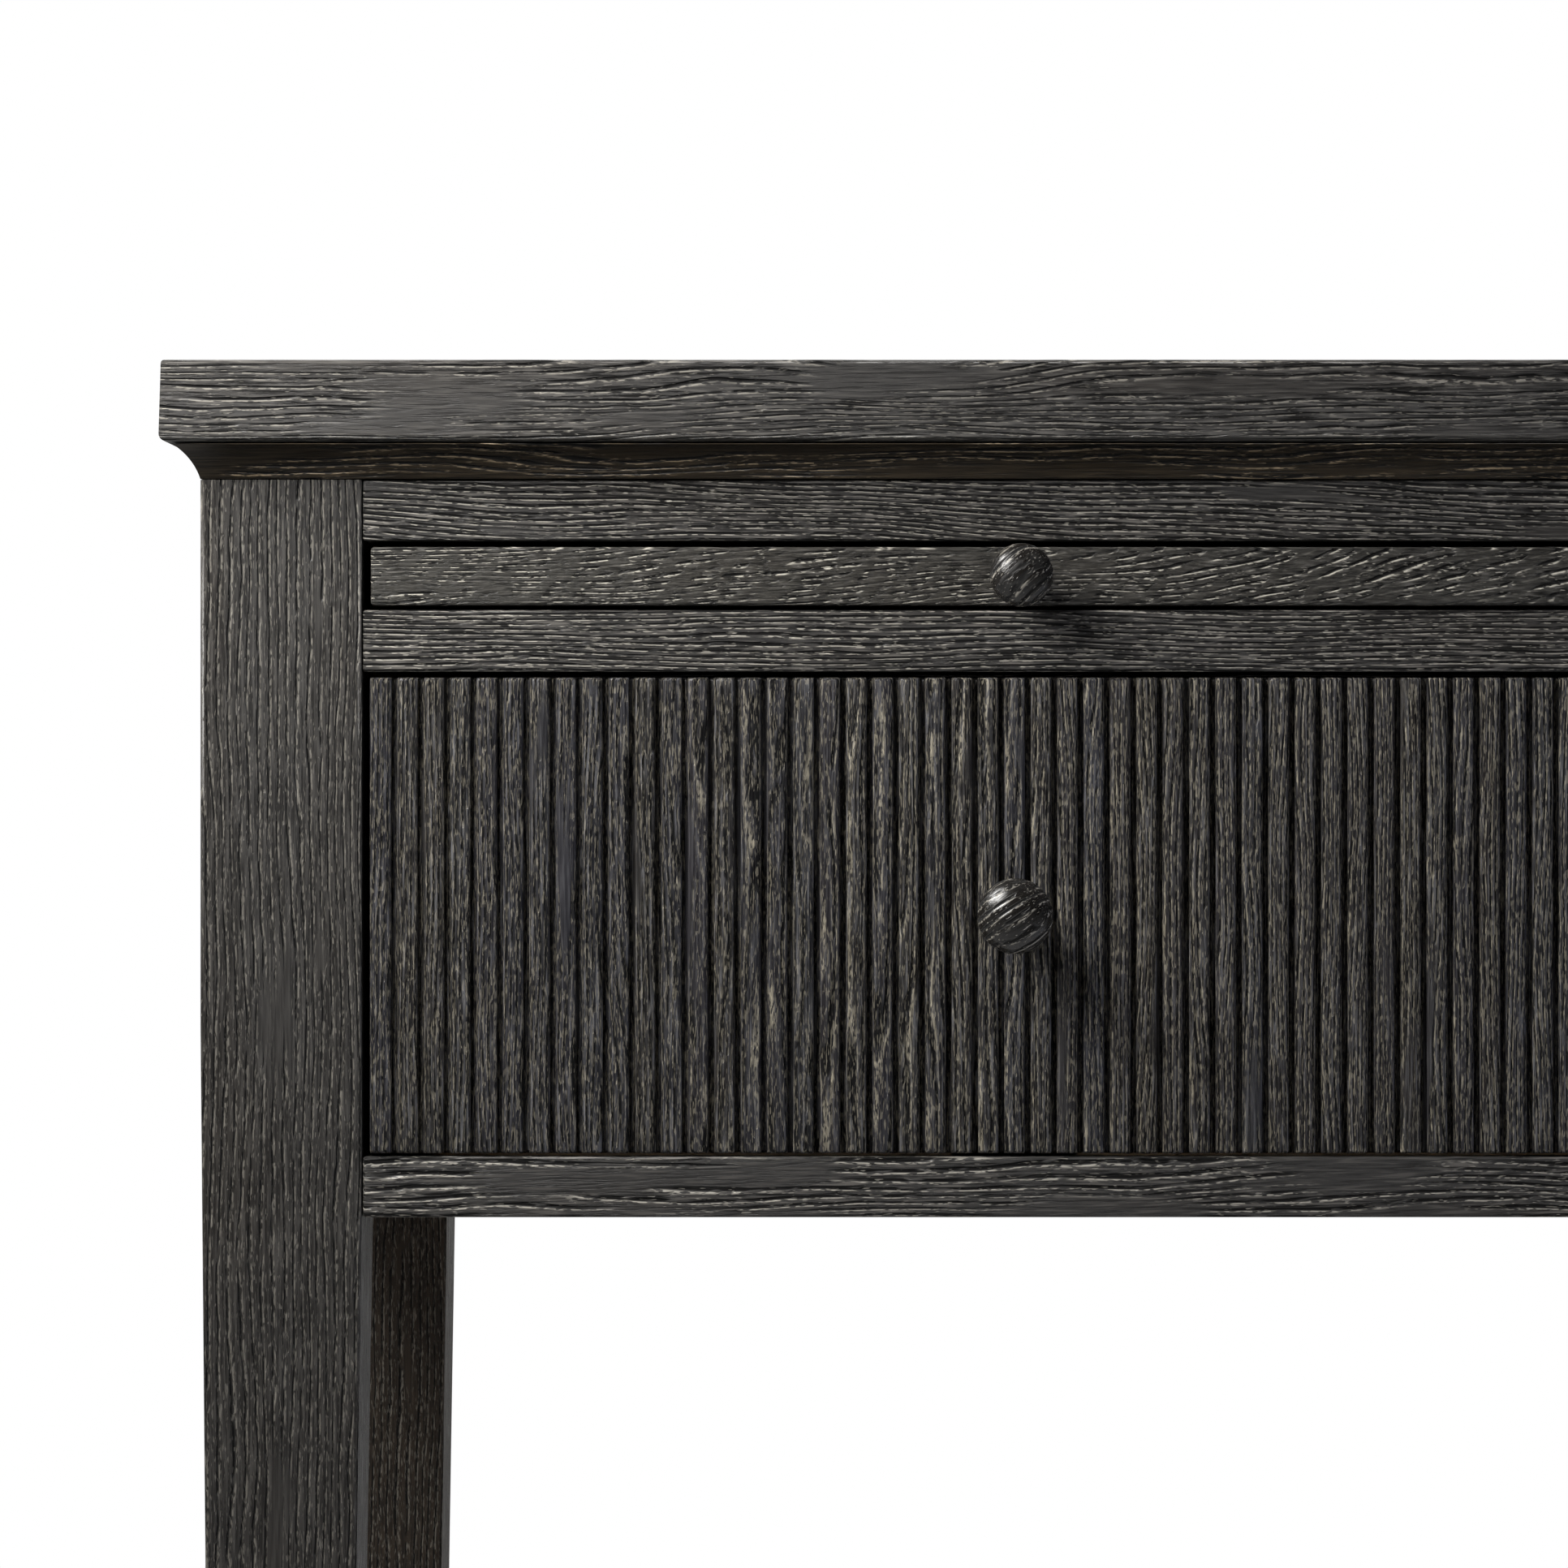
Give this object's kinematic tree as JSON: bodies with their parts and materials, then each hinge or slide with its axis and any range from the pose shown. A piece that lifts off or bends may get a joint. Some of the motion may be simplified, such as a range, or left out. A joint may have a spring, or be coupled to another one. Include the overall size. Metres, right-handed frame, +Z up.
{
  "type": "console table",
  "caption": "Console table in black oak with reeded drawers, pull-out slides above them, turned knobs and tapered square legs.",
  "frame": {"origin": "on the floor under the middle of the whole box, knobs included", "axes": "+Z up, +X to the table's right as seen from the front, -Y out of the front"},
  "size_m": [1.4404, 0.5154, 0.813],
  "materials": {
    "top_oak": "wire-brushed black oak with pale open pores, satin",
    "frame_oak": "wire-brushed black oak with pale open pores, satin",
    "cove_oak": "planed black oak, satin",
    "rail_oak": "wire-brushed black oak with pale open pores, satin",
    "reeded_oak": "reeded black oak, satin",
    "slide_oak": "wire-brushed black oak with ray fleck, satin",
    "knob_oak": "turned black oak, semi-gloss",
    "plain_oak": "planed natural oak, matt lacquer",
    "glide_nylon": "moulded nylon"
  },
  "bodies": {
    "frame": {"top_panel": "top_oak", "cove_front": "cove_oak", "cove_back": "cove_oak", "cove_left": "cove_oak", "cove_right": "cove_oak", "leg_front_left": "frame_oak", "glide_front_left": "glide_nylon", "leg_front_right": "frame_oak", "glide_front_right": "glide_nylon", "leg_rear_left": "frame_oak", "glide_rear_left": "glide_nylon", "leg_rear_right": "frame_oak", "glide_rear_right": "glide_nylon", "top_rail": "rail_oak", "bottom_rail": "rail_oak", "mid_rail_left": "rail_oak", "mid_rail_centre": "rail_oak", "mid_rail_right": "rail_oak", "stile_left": "frame_oak", "stile_right": "frame_oak", "side_panel_left": "rail_oak", "side_panel_right": "rail_oak", "back_panel": "rail_oak", "drawer_runner_left": "plain_oak", "slide_guide_left": "plain_oak", "drawer_runner_inner_left": "plain_oak", "slide_guide_inner_left": "plain_oak", "drawer_runner_inner_right": "plain_oak", "slide_guide_inner_right": "plain_oak", "drawer_runner_right": "plain_oak", "slide_guide_right": "plain_oak", "drawer_stop_left": "plain_oak", "drawer_stop_centre": "plain_oak", "drawer_stop_right": "plain_oak"},
    "drawer_left": {"drawer_left_front": "reeded_oak", "drawer_left_knob": "knob_oak", "drawer_left_side_left": "plain_oak", "drawer_left_side_right": "plain_oak", "drawer_left_back": "plain_oak", "drawer_left_bottom": "plain_oak"},
    "slide_left": {"slide_left_board": "slide_oak", "slide_left_knob": "knob_oak"},
    "drawer_centre": {"drawer_centre_front": "reeded_oak", "drawer_centre_knob": "knob_oak", "drawer_centre_side_left": "plain_oak", "drawer_centre_side_right": "plain_oak", "drawer_centre_back": "plain_oak", "drawer_centre_bottom": "plain_oak"},
    "slide_centre": {"slide_centre_board": "slide_oak", "slide_centre_knob": "knob_oak"},
    "drawer_right": {"drawer_right_front": "reeded_oak", "drawer_right_knob": "knob_oak", "drawer_right_side_left": "plain_oak", "drawer_right_side_right": "plain_oak", "drawer_right_back": "plain_oak", "drawer_right_bottom": "plain_oak"},
    "slide_right": {"slide_right_board": "slide_oak", "slide_right_knob": "knob_oak"}
  },
  "joints": [
    {"name": "drawer_left_slide", "type": "slide", "parent": "frame", "child": "drawer_left", "axis": [0, -1, 0], "range_m": [0, 0.33]},
    {"name": "slide_left_slide", "type": "slide", "parent": "frame", "child": "slide_left", "axis": [0, -1, 0], "range_m": [0, 0.3]},
    {"name": "drawer_centre_slide", "type": "slide", "parent": "frame", "child": "drawer_centre", "axis": [0, -1, 0], "range_m": [0, 0.33]},
    {"name": "slide_centre_slide", "type": "slide", "parent": "frame", "child": "slide_centre", "axis": [0, -1, 0], "range_m": [0, 0.3]},
    {"name": "drawer_right_slide", "type": "slide", "parent": "frame", "child": "drawer_right", "axis": [0, -1, 0], "range_m": [0, 0.33]},
    {"name": "slide_right_slide", "type": "slide", "parent": "frame", "child": "slide_right", "axis": [0, -1, 0], "range_m": [0, 0.3]}
  ]
}
